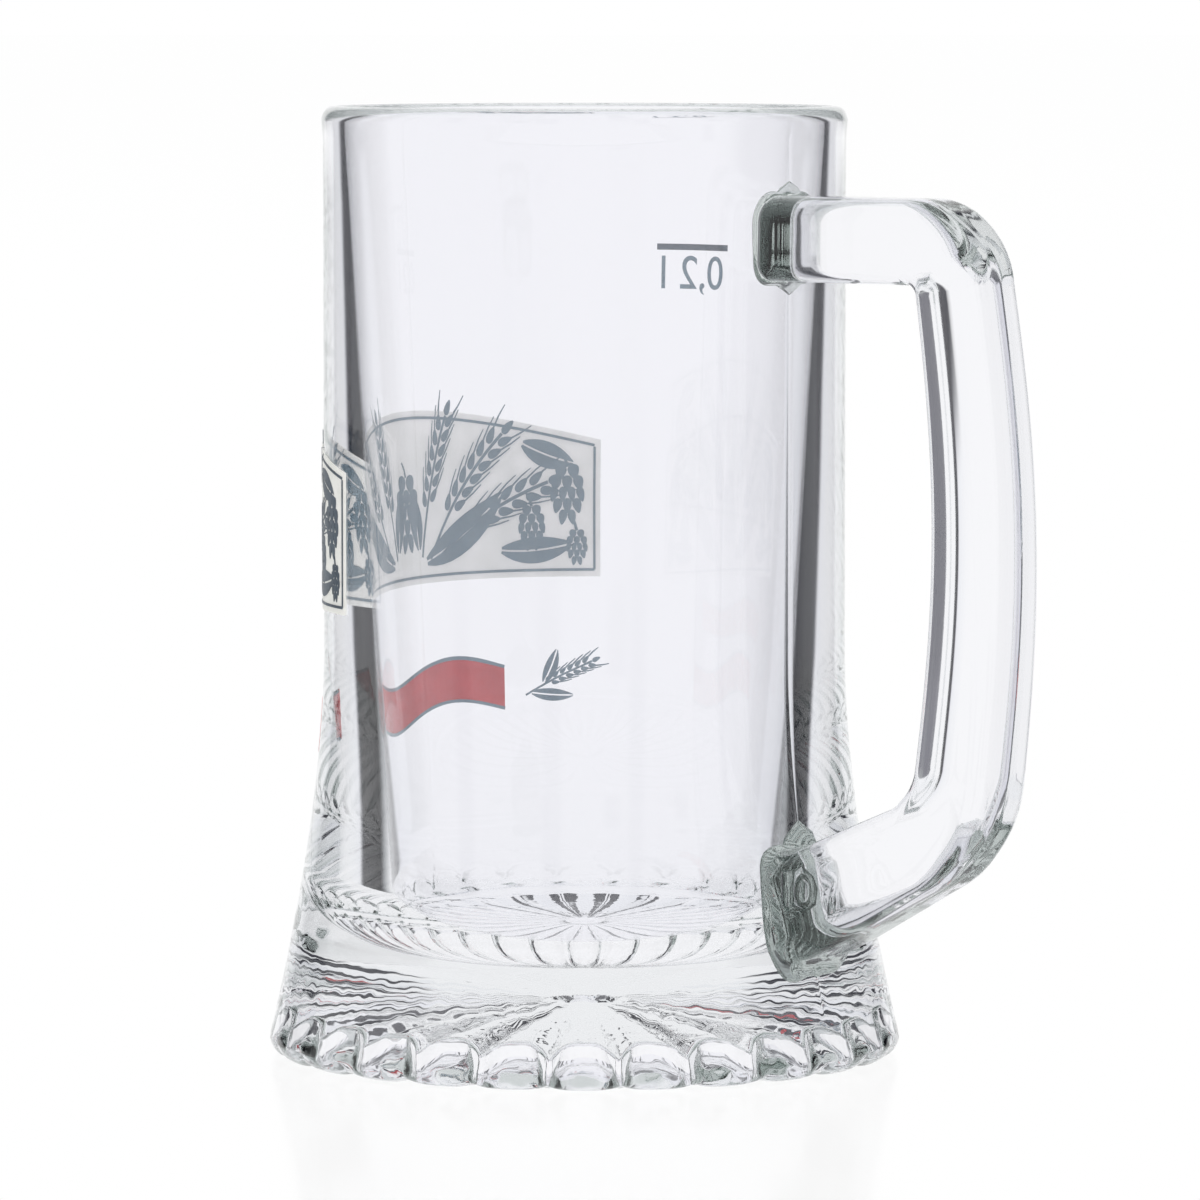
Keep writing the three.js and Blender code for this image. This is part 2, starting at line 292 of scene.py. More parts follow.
# the fused joint: glass runs on into glass through a grey see-through skin, which is painted shade on the
# pads
def fusedSeam(name, shadeTint):
    material, tree = newMaterial(name)
    clear = addNode(tree, "ShaderNodeBsdfTransparent", None, {"Color": linear(shadeTint)})
    depth = addNode(tree, "ShaderNodeVolumeAbsorption", None, {
        "Color": linear(glassDepth["colour"]), "Density": glassDepth["density"],
    })
    addNode(tree, "ShaderNodeOutputMaterial", Surface=clear.outputs[0], Volume=depth.outputs[0])
    return material


vesselFinish = pressedGlass("soda-lime pressed glass, rippled foot", True)
handleFinish = pressedGlass("soda-lime pressed glass", False)
# each joint's tint is painted shade: grey under the lower pad, nearly clear under the upper one
lowerSeam = fusedSeam("fused glass joint, lower", "e2e6e4")
upperSeam = fusedSeam("fused glass joint, upper", "fafbfa")

# vessel: half a section, spun, with the beads and the star pressed in afterwards
vessel = {
    "height": 120, "wall": 33, "mouth": 30.4, "rimBead": 0.2, "rimDrop": 1.9, "rimNeck": 2,
    "floor": 11.2, "floorRadius": 25.2, "floorCorner": 10, "floorDish": 0.6,
    "flareTop": 52, "flareBend": 32, "foot": 40, "footRound": 2.2, "contact": 1.1,
    "beads": 26, "beadTurn": 130, "beadLength": 5.2, "beadArch": 3.0, "pressedTo": 6.5,
    "starHeight": 4.8, "starRise": 0.6, "starDisc": 2.7, "discStep": 0.4, "discEdge": 0.25,
    "fluteDepth": 1.8, "fluteSharp": 2.4, "grooveDepth": 0.5, "grooveRise": 2.6, "grooveSharp": 3.0,
    "seam": 0.03, "seamWidth": 0.3, "seamFrom": 7, "seamEnd": 1,  # the last is how far under the rim it ends
    "columns": 16,  # to a bead
    "rows": {"disc": 5, "star": 26, "bead": 14, "round": 10, "flare": 26, "wall": 8, "rim": 8, "bore": 10,
             "corner": 20, "floor": 8},
}


def wallAt(z):
    # the wall's outer radius at a height
    low, bend, top = vessel["footRound"], vessel["flareBend"], vessel["flareTop"]
    if z >= top:
        return vessel["wall"]
    a, b, c = low - 2 * bend + top, 2 * (bend - low), low - max(z, low)
    share = -2 * c / (b + math.sqrt(b * b - 4 * a * c))
    return vessel["wall"] + (vessel["foot"] - vessel["wall"]) * (1 - share) ** 2


def arc(x, z, rx, rz, start, end, steps):
    angles = [math.radians(start + (end - start) * i / steps) for i in range(steps + 1)]
    return [(x + rx * math.cos(a), z + rz * math.sin(a)) for a in angles]


def straight(start, end, steps):
    (a, b), (c, d) = start, end
    return [(a + (c - a) * i / steps, b + (d - b) * i / steps) for i in range(steps + 1)]


def vesselSection():
    # from the star's middle out under the foot, up the wall, over the rim and down the bore
    v, rows = vessel, vessel["rows"]
    outer = v["foot"] - v["footRound"]
    inner = outer - v["contact"]
    crown = v["starHeight"] + v["starRise"]
    discAt = crown - v["discStep"]
    rimAt = v["height"] - v["rimDrop"]
    middle, half = (v["wall"] + v["mouth"]) / 2, (v["wall"] - v["mouth"]) / 2
    cornerTop = v["floor"] + v["floorDish"] + v["floorCorner"]
    floorEdge = v["floorRadius"] - v["floorCorner"]
    rise = v["flareTop"] - v["footRound"]
    flare = [v["footRound"] + rise * (i / rows["flare"]) ** 1.3 for i in range(1, rows["flare"] + 1)]
    inward = [1 - i / rows["floor"] for i in range(1, rows["floor"] + 1)]
    points = straight((0, discAt), (v["starDisc"], discAt), rows["disc"])
    points += straight((v["starDisc"] + v["discEdge"], crown), (inner - v["beadLength"], v["starHeight"]),
                       rows["star"])[:-1]
    points += arc(inner, v["starHeight"], v["beadLength"], v["starHeight"], 180, 270, rows["bead"])
    points += arc(outer, v["footRound"], v["footRound"], v["footRound"], -90, 0, rows["round"])
    points += [(wallAt(z), z) for z in flare]
    points += straight((v["wall"], v["flareTop"]), (v["wall"], rimAt - v["rimNeck"]), rows["wall"])[1:]
    points += arc(middle, rimAt, half + v["rimBead"], v["rimDrop"], 0, 90, rows["rim"])
    points += arc(middle, rimAt, half, v["rimDrop"], 90, 180, rows["rim"])[1:]
    points += straight((v["mouth"], rimAt), (v["floorRadius"], cornerTop), rows["bore"])[1:-1]
    points += arc(floorEdge, cornerTop, v["floorCorner"], v["floorCorner"], 0, -90, rows["corner"])
    points += [(floorEdge * s, v["floor"] + v["floorDish"] * s ** 2) for s in inward]
    return points


def beadDip(angle, sharp):
    # nought on a bead's crown, one in the groove between two beads
    pitch = 360 / vessel["beads"]
    share = ((math.degrees(angle) - vessel["beadTurn"]) / pitch + 0.5) % 1 - 0.5
    return abs(2 * share) ** sharp


def pressedMove(vert, radius, angle):
    # how the mould moves a point under the foot
    v = vessel
    inner = v["foot"] - v["footRound"] - v["contact"]
    starEnd = inner - v["beadLength"]
    if radius >= inner:
        depth = v["grooveDepth"] * max(0, 1 - vert.co.z / v["grooveRise"]) ** 1.4
        return vert.normal * -depth * beadDip(angle, v["grooveSharp"])
    # flutes run out to the beads, and their ridges come down between two beads, so each bead ends in an arch
    away = Vector((vert.co.x, vert.co.y, 0)) / radius
    share = min(1, (radius - v["starDisc"]) / (starEnd - v["starDisc"]))
    slope = max(0, (radius - starEnd) / v["beadLength"])
    rise = v["grooveDepth"] * slope - v["fluteDepth"] * share * (1 - slope)
    move = Vector((0, 0, rise)) + away * v["beadArch"] * share ** 3 * (1 - slope)
    sharp = v["fluteSharp"] + (v["grooveSharp"] - v["fluteSharp"]) * max(share ** 4, slope)
    return move * beadDip(angle, sharp)


def makeVessel():
    v = vessel
    bm = bmesh.new()
    steps = v["beads"] * v["columns"]
    start = math.radians(v["beadTurn"])
    row = [bm.verts.new((r * math.cos(start), r * math.sin(start), z)) for r, z in vesselSection()]
    line = [bm.edges.new(pair) for pair in zip(row, row[1:])]
    bmesh.ops.spin(bm, geom=row + line, cent=(0, 0, 0), axis=(0, 0, 1), angle=2 * math.pi, steps=steps,
                   use_merge=True)
    bmesh.ops.remove_doubles(bm, verts=bm.verts, dist=weld)
    bmesh.ops.recalc_face_normals(bm, faces=bm.faces)
    bm.normal_update()
    moves = []
    for vert in bm.verts:
        radius = math.hypot(vert.co.x, vert.co.y)
        if vert.co.z <= v["pressedTo"] and radius >= v["starDisc"] + 0.1:
            moves.append((vert, pressedMove(vert, radius, math.atan2(vert.co.y, vert.co.x))))
    for vert, move in moves:
        vert.co += move
    pressSeam(bm, steps)
    return bm


def pressSeam(bm, steps):
    # the mould's parting line, a fine ridge up the wall in the handle's plane
    v = vessel
    top = v["height"] - v["rimDrop"] - v["seamEnd"]
    for vert in bm.verts:
        x, y, z = vert.co
        radius, angle = math.hypot(x, y), math.atan2(y, x)
        if z < v["seamFrom"] or z > top or radius < wallAt(z) - 0.1:
            continue
        off = angle % math.pi if angle % math.pi < math.pi / 2 else angle % math.pi - math.pi
        column = round(off * steps / (2 * math.pi))
        if abs(column) < 2:
            radius += 0 if column else v["seam"]
            angle += column * v["seamWidth"] / 2 / radius - off
            vert.co = (radius * math.cos(angle), radius * math.sin(angle), z)


# handle: a rounded bar drawn along its path, each end flared out on to the wall
handle = {
    "armHeight": 103.9, "upperReach": 59.7, "lowerReach": 60.7, "bendHeight": 32.3, "rootHeight": 20.6,
    "bow": 3.5, "upperBend": 5.5, "lowerBend": 10, "innerRound": 2.4, "outerRound": 3.2, "startInside": 5,
    "thickness": [10.5, 10.5, 9.2, 10.3, 11.2, 13.4], "width": [11.8, 11.8, 11.6, 12.4, 12.6, 12.8],
    "steps": [12, 24, 30, 28, 16], "cornerSteps": 8,
    # a flare starts clear of the wall, ends a share of its fillet off it, and goes on into it
    "upperFillet": 0.9, "lowerFillet": 2.8, "clear": 0.3, "flareSteps": 8, "flareEnd": 0.1, "sink": 0.9,
    "seam": 0.025, "seamWidth": 0.6,  # the parting line
    # glass squeezed out between the moulds, outside and inside the bend of the handle
    "fin": 2.0, "finFoot": 0.4, "upperFins": (1.1, 0.7), "lowerFins": (0.3, 1.4),
    "slump": [(0.2, 3, 0.7), (0.14, 7, 0)],  # the hot pads slumped unevenly: how far, waves round, start
    # the mould's number on the lower pad
    "number": {"text": "10", "size": 5.8, "at": (-39.4, 6.2, 21.9), "proud": 0.7, "half": 0.9, "bevel": 0.16},
}


def handlePath():
    # five runs of points in the handle's upright plane: arm, bend, grip, bend, leg
    h = handle
    upper = Vector((h["upperReach"], h["armHeight"]))
    lower = Vector((h["lowerReach"], h["bendHeight"]))
    start = Vector((vessel["wall"] - h["startInside"], h["armHeight"]))
    root = Vector((wallAt(h["rootHeight"]), h["rootHeight"]))
    bends = ((1, start, upper, lower, h["upperBend"]), (3, upper, lower, root, h["lowerBend"]))
    runs = [[], [], [], [], []]
    for run, before, corner, after, radius in bends:
        back, on = (before - corner).normalized(), (after - corner).normalized()
        half = math.acos(back.dot(on)) / 2
        centre = corner + (back + on).normalized() * radius / math.sin(half)
        first, last = (corner + way * radius / math.tan(half) - centre for way in (back, on))
        sweep = first.angle_signed(last)
        count = h["steps"][run]
        runs[run] = [centre + Matrix.Rotation(-sweep * i / count, 2) @ first for i in range(count + 1)]
    lines = ((0, start, runs[1][0]), (2, runs[1][-1], runs[3][0]), (4, runs[3][-1], root))
    for run, a, b in lines:
        count = h["steps"][run]
        runs[run] = [a.lerp(b, i / count) for i in range(count + 1)]
    stations = []
    for run, points in enumerate(runs):
        for i, point in enumerate(points):
            if run and not i:
                continue
            share = i / h["steps"][run]
            rise = (point.y - h["bendHeight"]) / (h["armHeight"] - h["bendHeight"])
            swell = h["bow"] * math.sin(math.pi * min(1, max(0, rise)))
            sizes = [h[key][run] + (h[key][run + 1] - h[key][run]) * share for key in ("thickness", "width")]
            stations.append((Vector((point.x + swell, point.y)), sizes))
    return stations


def handleRing(thickness, width, grow=0, fins=(0, 0)):
    # a rounded rectangle, with the parting line's ridge along the middle of its outer and inner face
    corners = []
    for wayX, wayY, start in ((1, 1, 0), (-1, 1, 90), (-1, -1, 180), (1, -1, 270)):
        rounded = handle["outerRound" if wayX > 0 else "innerRound"] + grow
        middle = (wayX * (thickness / 2 + grow - rounded), wayY * (width / 2 + grow - rounded))
        corners.append(arc(*middle, rounded, rounded, start, start + 90, handle["cornerSteps"]))
    ring = []
    for i, corner in enumerate(corners):
        ring += corner
        a, b = corner[-1]
        if i % 2:
            way = math.copysign(1, a)
            fin = fins[0] if a > 0 else fins[1]
            edge = math.copysign(handle["seamWidth"] / 2 + fin, b)
            foot = a + way * fin * handle["finFoot"]
            tip = a + way * (handle["seam"] + fin)
            ring += [(a, b / 2 + edge / 2), (foot, edge), (tip, 0), (foot, -edge), (a, -b / 2 - edge / 2)]
        else:
            end = corners[(i + 1) % 4][0][0]
            ring += [(a + (end - a) * k / 4, b) for k in (1, 2, 3)]
    return ring


def onWall(middle, along, a, b, off):
    # runs from a section's point along the arm until it is that far off the wall
    side = Vector((-along.y, along.x))
    low, high = -5.0, 60.0
    for step in range(50):
        reach = (low + high) / 2
        point = middle + along * reach + side * a
        if math.hypot(point.x, b) > wallAt(point.y) + off:
            low = reach
        else:
            high = reach
    return (-point.x, b, point.y)


def flaredRings(base, fillet, way, fins):
    # down a rounded flare to the wall, then straight on into it
    ring, middle, along, thickness, width, off = base
    plain = handleRing(thickness, width)
    turns = [2 * math.pi * i / len(plain) for i in range(len(plain))]
    slump = handle["slump"]
    wobble = [1 + sum(far * math.sin(waves * t + start) for far, waves, start in slump) for t in turns]
    steps, end = handle["flareSteps"], handle["flareEnd"]
    distances = [fillet * (end + (1 - end) * (1 - i / (steps - 1)) ** 1.5) for i in range(steps)]
    rings = []
    for distance in distances + [-handle["sink"]]:
        near = min(1, max(0, 1 - max(distance, fillet * end) / fillet))
        grow = fillet * (1 - math.sqrt(1 - near * near))
        wide = handleRing(thickness, width, grow, [handle["fin"] * near ** 3 * fin for fin in fins])
        spots = [(a + (c - a) * w, b + (d - b) * w) for (a, b), (c, d), w in zip(plain, wide, wobble)]
        rings.append([onWall(middle, along * way, a * way, b, distance) for a, b in spots])
    return rings


def handleRings():
    h = handle
    stations = handlePath()
    rings = []
    for i, (middle, (thickness, width)) in enumerate(stations):
        along = (stations[min(i + 1, len(stations) - 1)][0] - stations[max(i - 1, 0)][0]).normalized()
        ring = []
        for a, b in handleRing(thickness, width):
            point = middle + Vector((-along.y, along.x)) * a
            ring.append((-point.x, b, point.y))
        off = min(math.hypot(x, y) - wallAt(z) for x, y, z in ring)
        rings.append((ring, middle, along, thickness, width, off))
    half = len(rings) // 2
    upper = [r for r in rings[:half] if r[5] > h["upperFillet"] + h["clear"]]
    lower = [r for r in rings[half:] if r[5] > h["lowerFillet"] + h["clear"]]
    top = flaredRings(upper[0], h["upperFillet"], -1, h["upperFins"])
    foot = flaredRings(lower[-1], h["lowerFillet"], 1, h["lowerFins"])
    return top[::-1] + [r[0] for r in upper + lower] + foot


def drawOn(bm, row, places, closed):
    # extrudes a row of vertices, and moves the new row to its places
    edges = [bm.edges.get(pair) for pair in zip(row, row[1:] + row[:1] if closed else row[1:])]
    made = bmesh.ops.extrude_edge_only(bm, edges=edges)["geom"]
    fresh = {e for e in made if isinstance(e, bmesh.types.BMVert)}
    row = [next(e.other_vert(v) for e in v.link_edges if e.other_vert(v) in fresh) for v in row]
    for vert, place in zip(row, places):
        vert.co = place
    return row


def makeHandle():
    rings = handleRings()
    bm = bmesh.new()
    ring = bmesh.ops.create_circle(bm, segments=len(rings[0]), radius=1)["verts"]
    for vert, place in zip(ring, rings[0]):
        vert.co = place
    for places in rings[1:]:
        ring = drawOn(bm, ring, places, True)
    bmesh.ops.holes_fill(bm, edges=bm.edges)
    bmesh.ops.recalc_face_normals(bm, faces=bm.faces)
    return bm


def cutWith(bm, cutter, operation):
    # one bmesh joined with or cut by another
    made = []
    for name, source in (("kept", bm), ("cutter", cutter)):
        mesh = bpy.data.meshes.new(name)
        source.to_mesh(mesh)
        made.append(bpy.data.objects.new(name, mesh))
        bpy.context.scene.collection.objects.link(made[-1])
    cut = made[0].modifiers.new("cut", "BOOLEAN")
    cut.operation = operation
    cut.solver = "EXACT"
    cut.object = made[1]
    result = bmesh.new()
    result.from_object(made[0], bpy.context.evaluated_depsgraph_get())
    for piece in made:
        mesh = piece.data
        bpy.data.objects.remove(piece)
        bpy.data.meshes.remove(mesh)
    return result


def textShape(text, size, depth=0, edge=0):
    # a line of figures as a mesh, centred, with its foot on the x axis
    curve = bpy.data.curves.new("figures", "FONT")
    curve.body = text
    curve.size = size
    curve.align_x = "CENTER"
    curve.extrude = depth
    curve.bevel_depth = edge
    curve.bevel_resolution = 2
    curve.resolution_u = 6
    holder = bpy.data.objects.new("figures", curve)
    mesh = bpy.data.meshes.new_from_object(holder)
    bm = bmesh.new()
    bm.from_mesh(mesh)
    bpy.data.objects.remove(holder)
    bpy.data.curves.remove(curve)
    bpy.data.meshes.remove(mesh)
    bmesh.ops.remove_doubles(bm, verts=bm.verts, dist=weld)
    bmesh.ops.recalc_face_normals(bm, faces=bm.faces)
    return bm


def numbered(handleMesh):
    # the mould's number stands proud of the lower pad
    number = handle["number"]
    figures = textShape(number["text"], number["size"], number["half"], number["bevel"])
    x, y, z = number["at"]
    y += number["proud"] - number["half"] - number["bevel"]
    upright = Matrix(((-1, 0, 0, x), (0, 0, 1, y), (0, 1, 0, z), (0, 0, 0, 1)))
    bmesh.ops.transform(figures, matrix=upright, verts=figures.verts)
    return cutWith(handleMesh, figures, "UNION")


# joint: vessel and handle stay two closed pieces that share the patch of wall where they are fused
joint = {
    "near": 0.045, "apart": 0.004,  # what counts as on the wall, and the hair between the two patches
    "split": 60, "behind": -20, "low": 7, "high": 114,  # between the pads, and where the handle is
}


def offWall(vert):
    return math.hypot(vert.co.x, vert.co.y) - wallAt(vert.co.z)


def offHandle(face):
    # a face of the joined glass that belongs to the handle
    return face.calc_center_median().x < joint["behind"] and any(
        offWall(v) > joint["near"] and joint["low"] < v.co.z < joint["high"] for v in face.verts)


def fuse():
    vesselMesh, handleMesh = makeVessel(), numbered(makeHandle())
    cutHandle = cutWith(handleMesh, vesselMesh, "DIFFERENCE")
    whole = cutWith(vesselMesh, handleMesh, "UNION")
    vesselMesh.free()
    handleMesh.free()
    patch = [f for f in cutHandle.faces if all(abs(offWall(v)) < joint["near"] for v in f.verts)]
    bmesh.ops.delete(whole, geom=[f for f in whole.faces if offHandle(f)], context="FACES")
    for face in patch:
        face.material_index = 1 if face.calc_center_median().z < joint["split"] else 2
        corners = [whole.verts.new(v.co) for v in reversed(face.verts)]
        whole.faces.new(corners).material_index = face.material_index
    bmesh.ops.remove_doubles(whole, verts=whole.verts, dist=weld)
    for vert in {v for f in patch for v in f.verts}:  # a hair apart, so that a ray meets one at a time
        vert.co += Vector((vert.co.x, vert.co.y, 0)).normalized() * joint["apart"]
    for edge in cutHandle.edges:
        if len(edge.link_faces) == 2:
            edge.smooth = edge.link_faces[0].material_index == edge.link_faces[1].material_index
    for bm in (whole, cutHandle):
        for face in bm.faces:
            face.smooth = True
        print("glass fused:", len(bm.faces), "faces,", sum(not e.is_manifold for e in bm.edges), "open edges")
    return whole, cutHandle


vesselMesh, handleMesh = fuse()
addPiece(vesselMesh, "pressed_vessel", [vesselFinish, lowerSeam, upperSeam], ["glass_body"])
addPiece(handleMesh, "applied_handle", [handleFinish, lowerSeam, upperSeam], ["glass_handle"])
print("glass made")


# fired enamel, screen-printed in thin glassy colour: satin, with the screen's grain and a little unevenness
def firedEnamel(name, light, dark, through):
    material, tree = newMaterial(name)
    place = addNode(tree, "ShaderNodeTexCoord")
    cloud = addNode(tree, "ShaderNodeTexNoise", None, {"Scale": 240, "Detail": 2.0, "Roughness": 0.5},
                    Vector=place.outputs["Object"])  # uneven firing, about 4 mm
    grain = addNode(tree, "ShaderNodeTexNoise", None, {"Scale": 2200, "Detail": 1.0},
                    Vector=place.outputs["Object"])  # the screen, about 0.45 mm
    blend = addNode(tree, "ShaderNodeMath", {"operation": "MULTIPLY_ADD"}, {1: 0.45},
                    _0=grain.outputs[0], _2=cloud.outputs[0])
    share = addNode(tree, "ShaderNodeMapRange", None, {1: 0.5, 2: 0.95}, _0=blend.outputs[0])
    colour = addNode(tree, "ShaderNodeMix", {"data_type": "RGBA"}, {6: linear(light), 7: linear(dark)},
                     _0=share.outputs[0])
    satin = addNode(tree, "ShaderNodeMapRange", None, {3: 0.32, 4: 0.5}, _0=grain.outputs[0])
    wave = addNode(tree, "ShaderNodeBump", None, {"Strength": 0.25, "Distance": 0.00004},
                   Height=grain.outputs[0])
    enamel = addNode(tree, "ShaderNodeBsdfPrincipled", None, {"IOR": 1.5}, Base_Color=colour.outputs[2],
                     Roughness=satin.outputs[0], Normal=wave.outputs[0])
    if through:
        glow = addNode(tree, "ShaderNodeBsdfTranslucent", Color=colour.outputs[2])
        enamel = addNode(tree, "ShaderNodeMixShader", None, {0: through},
                         _1=enamel.outputs[0], _2=glow.outputs[0])
    addNode(tree, "ShaderNodeOutputMaterial", Surface=enamel.outputs[0])
    return material


paleEnamel = firedEnamel("pale grey fired enamel", "fbfbf9", "f1f2ef", 0.35)
redEnamel = firedEnamel("red fired enamel", "dc5258", "cc464d", 0.35)
slateEnamel = firedEnamel("slate fired enamel", "4f5c68", "3c4752", 0.0)
# paler where it melted into the wall
slateUnder = firedEnamel("slate fired enamel under the glass", "6f848f", "657a86", 0.0)
for name, finish in (("picture_panel", paleEnamel), ("red_ribbon", redEnamel), ("fill_line", slateEnamel)):
    nodes[name].material_slots[0].material = finish
print("enamel fired")

# print: drawn flat, in millimetres round the wall from the print's middle and up it, then wrapped on
printed = {
    "panel": {"from": -54, "to": 66, "low": 56.6, "high": 74.4, "arch": 4.6},
    "ribbon": {"from": -28, "to": 36, "low": 38, "high": 45, "sag": 1.6, "line": 0.5, "inset": 0.2},
    "film": (0.03, 0.25), "bare": (0.03, 0.11),  # off the wall, through a ground of enamel and on bare glass
    "frame": 0.35, "frameInset": 0.9, "middle": 3.5,
    # an ear has its foot, the way it leans and its length, and a leaf its width too
    "ears": [(-0.4, 60.0, 102, 19), (-2.4, 59.6, 124, 21), (-3.6, 59.2, 146, 22)],
    "leaves": [(-1.5, 59.4, 166, 17, 4.2), (-19.5, 74.0, 206, 8, 3.2), (-16.0, 60.2, 186, 11, 3.2),
               (0.4, 61.0, 84, 8, 2.8)],
    # a hop has its top, length and width
    "hops": [(-26.2, 71.0, 7.4, 5.4), (-20.8, 65.8, 5.6, 4.4), (-27.6, 62.6, 4.4, 3.4)],
    "middleHop": (3.5, 70.5, 9.5, 7.0),
    "sprig": [(-19.6, 40.2, 149, 11.5)],
    "sprigLeaves": [(-20.6, 40.6, 190, 6.4, 1.8), (-22.5, 42.2, 118, 5.2, 1.7)],
    "figures": {"text": "0,2 l", "at": -77.8, "height": 94.2, "size": 6.2},
}


def stroke(bm, points, widths):
    # a strip along a line of points, as wide at each as is given
    points = [Vector((*p, 0)) for p in points]
    row = None
    for i, point in enumerate(points):
        along = (points[min(i + 1, len(points) - 1)] - points[max(i - 1, 0)]).normalized()
        side = Vector((-along.y, along.x, 0)) * widths[i] / 2
        places = [point + side, point - side]
        if row:
            row = drawOn(bm, row, places, False)
        else:
            row = [bm.verts.new(place) for place in places]
            bm.edges.new(row)


def ray(u, v, angle, reach, bend=0):
    # a point some way along a line that may curve
    turn = math.radians(angle + bend * reach)
    return u + reach * math.cos(turn), v + reach * math.sin(turn)


def grainOf(bm, u, v, angle, length, width):
    # one corn: a drop, full at its foot and pointed at its tip
    drop = bmesh.ops.create_circle(bm, cap_ends=True, segments=14, radius=0.5)["verts"]
    for vert in drop:
        vert.co.y *= 1 - 0.8 * vert.co.x
    lean = Matrix.Rotation(math.radians(angle), 4, "Z")
    turned = Matrix.Translation((u, v, 0)) @ lean @ Matrix.Diagonal((length, width, 1, 1))
    bmesh.ops.transform(bm, matrix=turned, verts=drop)


def barleyEar(bm, u, v, angle, length):
    # stem, two rows of corns and their awns
    size = length / 22
    bend = 0.35
    stem = [ray(u, v, angle, length * i / 10, bend) for i in range(11)]
    stroke(bm, stem, [0.3 * size + 0.15] * 11)
    corns = 6
    for i in range(corns):
        for way in (-1, 1):
            reach = length * (0.42 + 0.54 * (i + 0.25 * way) / (corns - 1))
            lean = angle + 2 * bend * reach
            x, y = ray(u, v, angle, reach, bend)
            turn = math.radians(lean + way * 90)
            spot = (x + 1.1 * size * math.cos(turn), y + 1.1 * size * math.sin(turn))
            grainOf(bm, *spot, lean + way * 22, 2.5 * size, 1.15 * size)
            tip = ray(*spot, lean + way * 22, 1.2 * size)
            awn = [tip, ray(*tip, lean + way * 18, 1.8 * size), ray(*tip, lean + way * 15, 3.6 * size)]
            stroke(bm, awn, [0.24, 0.2, 0.12])
    grainOf(bm, *ray(u, v, angle, length * 1.06, bend), angle + 2 * bend * length, 2.5 * size, 1.15 * size)


def leaf(bm, u, v, angle, length, width):
    # two halves with the midrib left bare between them
    bend = -0.9
    midrib = 0.12
    for way in (-1, 1):
        line, widths = [], []
        for i in range(11):
            share = i / 10
            x, y = ray(u, v, angle, length * share, bend)
            turn = math.radians(angle + 2 * bend * length * share + way * 90)
            half = width / 2 * math.sin(math.pi * min(1, share * 0.96 + 0.04)) ** 0.8
            off = midrib + half / 2
            line.append((x + off * math.cos(turn), y + off * math.sin(turn)))
            widths.append(max(0.1, half))
        stroke(bm, line, widths)


def hopCone(bm, u, v, length, width):
    # rows of scales that hang down, each row set between the one above it
    scales = (2, 3, 4, 3, 2)
    drop = length / len(scales)
    for i, count in enumerate(scales):
        share = (i + 0.5) / len(scales)
        span = width * math.sin(math.pi * (0.18 + 0.72 * share))
        for j in range(count):
            across = (j + 0.5) / count - 0.5
            spot = (u + span * across, v - length * share)
            grainOf(bm, *spot, -90 + 46 * across, drop * 1.35, span / count * 0.84)
    stroke(bm, [(u, v), (u + 0.3, v + 1.0), (u + 1.0, v + 2.0)], [0.45, 0.4, 0.3])


def wrapOn(bm, ground):
    # gives the flat shapes their thickness, and lays them on the wall or on the enamel under them
    made = bmesh.ops.extrude_face_region(bm, geom=bm.faces[:])["geom"]
    raised = {e for e in made if isinstance(e, bmesh.types.BMVert)}
    for vert in bm.verts:
        u, v = vert.co.x, vert.co.y
        angle = u / vessel["wall"]
        inner, outer = printed["film" if ground(math.degrees(angle), v) else "bare"]
        radius = wallAt(v) + (outer if vert in raised else inner)
        vert.co = (radius * math.cos(angle), radius * math.sin(angle), v)
    for face in bm.faces:
        face.material_index = 0 if any(v in raised for v in face.verts) else 1
    bmesh.ops.recalc_face_normals(bm, faces=bm.faces)
    print("print wrapped:", len(bm.faces), "faces,", sum(not e.is_manifold for e in bm.edges), "open edges")


def arcOf(degrees):
    return math.radians(degrees) * vessel["wall"]


def panelTop(degrees):
    panel = printed["panel"]
    share = (degrees - panel["from"]) / (panel["to"] - panel["from"])
    return panel["high"] + panel["arch"] * math.sin(math.pi * share)


def onPanel(degrees, z):
    panel = printed["panel"]
    return panel["from"] < degrees < panel["to"] and panel["low"] < z < panelTop(degrees)


def ribbonSway(degrees):
    ribbon = printed["ribbon"]
    share = (degrees - ribbon["from"]) / (ribbon["to"] - ribbon["from"])
    return ribbon["sag"] * math.sin(2 * math.pi * share)


def onRibbon(degrees, z):
    ribbon = printed["ribbon"]
    sway = ribbonSway(degrees)
    return ribbon["from"] < degrees < ribbon["to"] and ribbon["low"] + sway < z < ribbon["high"] + sway


def onBareGlass(degrees, z):
    return False


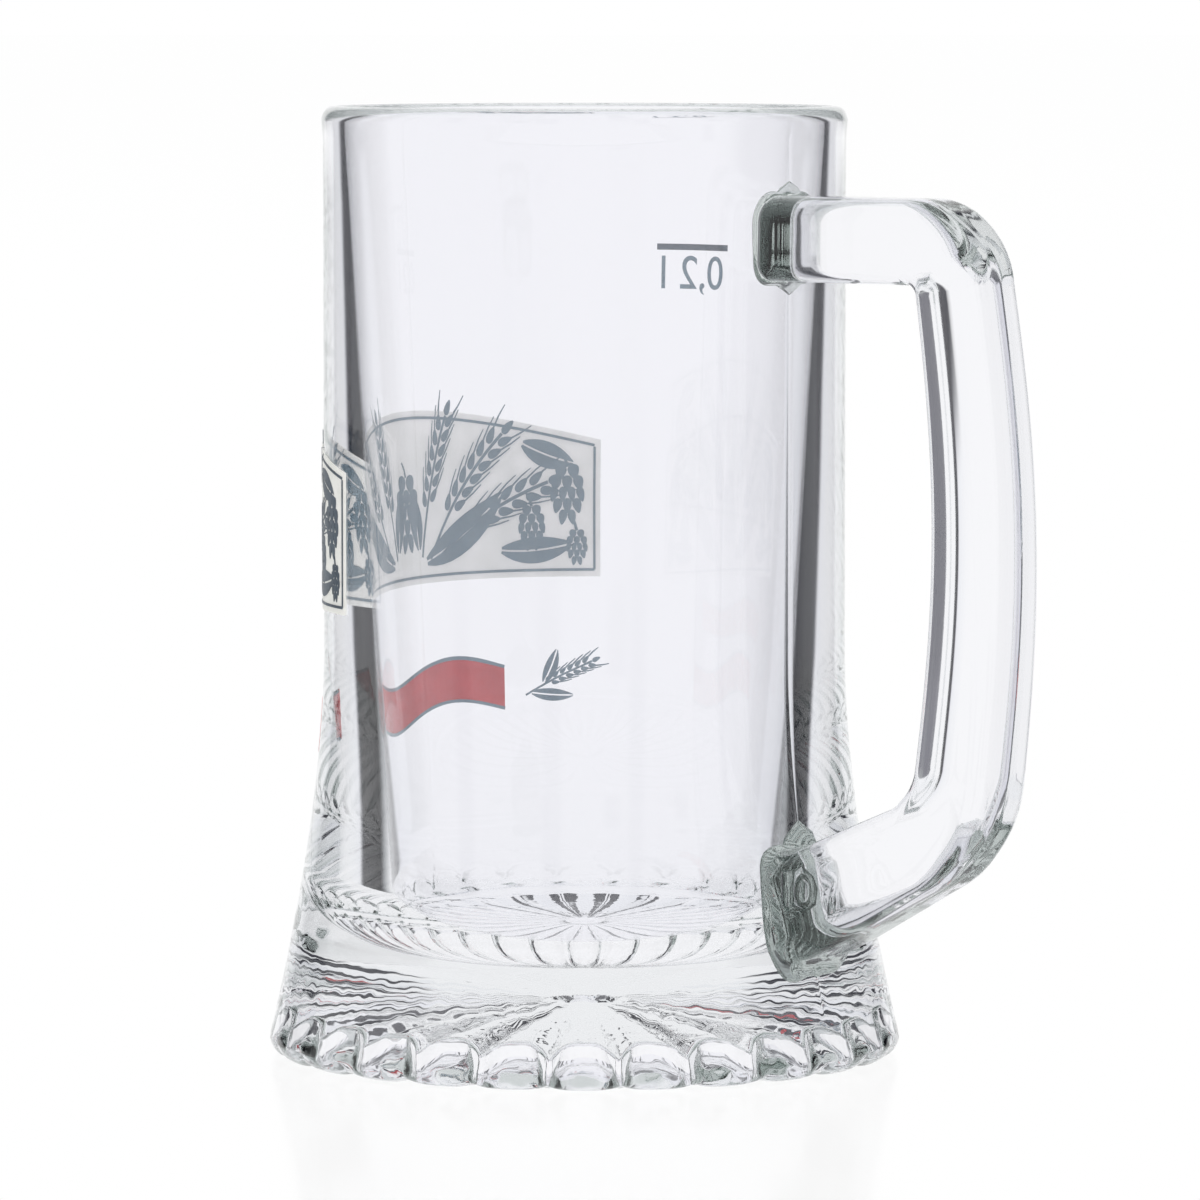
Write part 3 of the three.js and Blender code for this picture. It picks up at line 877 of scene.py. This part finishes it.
def harvestPrint():
    # a wreath of barley and hops inside a fine line, alike on both sides of its middle
    bm = bmesh.new()
    for ear in printed["ears"]:
        barleyEar(bm, *ear)
    for shape in printed["leaves"]:
        leaf(bm, *shape)
    for hop in printed["hops"]:
        hopCone(bm, *hop)
    twin = bmesh.ops.duplicate(bm, geom=bm.verts[:] + bm.edges[:] + bm.faces[:])["geom"]
    for vert in [e for e in twin if isinstance(e, bmesh.types.BMVert)]:
        vert.co.x = 2 * printed["middle"] - vert.co.x
    hopCone(bm, *printed["middleHop"])
    panel, inset = printed["panel"], printed["frameInset"]
    start, end = arcOf(panel["from"]) + inset, arcOf(panel["to"]) - inset
    low, high = panel["low"] + inset, panel["high"] - inset
    across = straight((start, low), (end, low), 48)
    top = [(u, panelTop(math.degrees(u / vessel["wall"])) - inset) for u, v in across]
    sides = [straight((u, low), (u, high), 8) for u in (start, end)]
    for line in (across, top, *sides):
        stroke(bm, line, [printed["frame"]] * len(line))
    wrapOn(bm, onPanel)
    return bm


def ribbonPrint():
    # the ribbon's dark edges, and a sprig beside it
    bm = bmesh.new()
    ribbon = printed["ribbon"]
    angles = [ribbon["from"] + (ribbon["to"] - ribbon["from"]) * i / 40 for i in range(41)]
    for height in (ribbon["low"] + ribbon["inset"], ribbon["high"] - ribbon["inset"]):
        stroke(bm, [(arcOf(d), height + ribbonSway(d)) for d in angles], [ribbon["line"]] * len(angles))
    for ear in printed["sprig"]:
        barleyEar(bm, *ear)
    for shape in printed["sprigLeaves"]:
        leaf(bm, *shape)
    wrapOn(bm, onRibbon)
    return bm


def figuresPrint():
    # the capacity figures under the fill line
    figures = printed["figures"]
    bm = textShape(figures["text"], figures["size"])
    bmesh.ops.translate(bm, vec=(arcOf(figures["at"]), figures["height"], 0), verts=bm.verts)
    wrapOn(bm, onBareGlass)
    return bm


addPiece(harvestPrint(), "harvest_print", [slateEnamel, slateUnder])
addPiece(ribbonPrint(), "ribbon_print", [slateEnamel, slateUnder])
addPiece(figuresPrint(), "capacity_figures", [slateEnamel, slateUnder])
print("print made")
